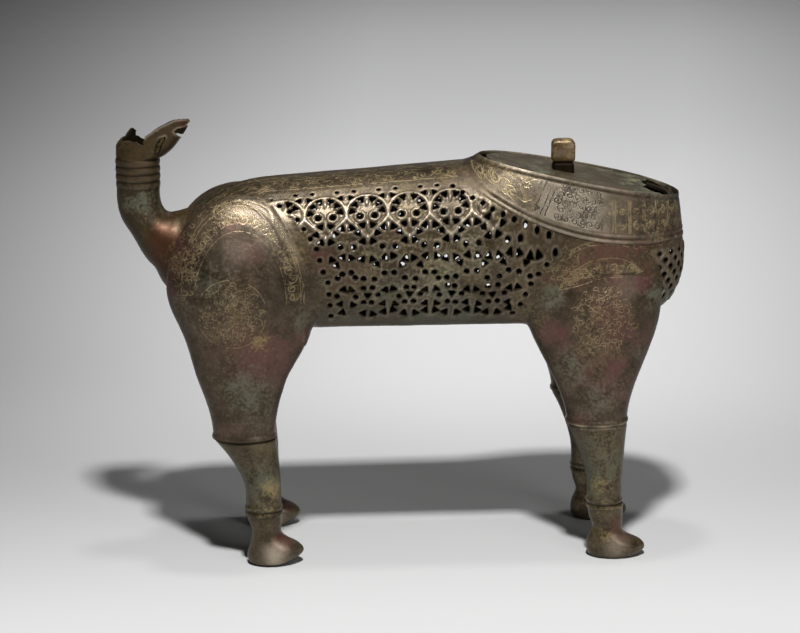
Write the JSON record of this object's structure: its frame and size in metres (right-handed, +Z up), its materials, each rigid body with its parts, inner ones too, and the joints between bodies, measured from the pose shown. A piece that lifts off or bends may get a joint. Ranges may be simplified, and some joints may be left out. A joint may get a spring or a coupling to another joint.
{
  "type": "lion incense burner",
  "caption": "Hollow cast bronze lion incense burner with pierced flanks, sloping neck mouth, loose cover plate with a lug, stub tail and a fire bowl inside.",
  "frame": {"origin": "middle of the outline on the floor plane, under the trunk", "axes": "+X from the tail to the breast, +Y to the lion's left, +Z up; the soles stand on Z = 0"},
  "size_m": [0.4503, 0.13, 0.3521],
  "materials": {
    "bronze_brown": "dark olive-brown patina",
    "bronze_red": "reddish-brown patina",
    "bronze_green": "green-brown patina",
    "bronze_grey": "grey-olive crust",
    "bronze_dark": "sooted"
  },
  "bodies": {
    "lion": {"trunk_shell": "bronze_brown", "neck_collar": "bronze_green", "belly_plate": "bronze_brown", "right_haunch": "bronze_red", "left_haunch": "bronze_red", "right_shoulder": "bronze_red", "left_shoulder": "bronze_red", "right_hind_shank": "bronze_brown", "left_hind_shank": "bronze_brown", "right_fore_shank": "bronze_brown", "left_fore_shank": "bronze_brown", "right_hind_foot": "bronze_red", "left_hind_foot": "bronze_red", "right_fore_foot": "bronze_red", "left_fore_foot": "bronze_red", "tail_stem": "bronze_red", "tail_finial": "bronze_brown"},
    "cover": {"neck_cover": "bronze_grey", "cover_lug": "bronze_brown", "lug_rivet": "bronze_dark"},
    "bowl": {"fire_bowl": "bronze_dark"}
  },
  "joints": [
    {"name": "cover_lift", "type": "slide", "parent": "lion", "child": "cover", "axis": [0.1942, 0, 0.981], "range_m": [0, 0.06]},
    {"name": "bowl_slide", "type": "slide", "parent": "lion", "child": "bowl", "axis": [1, 0, 0], "range_m": [0, 0.08]}
  ]
}
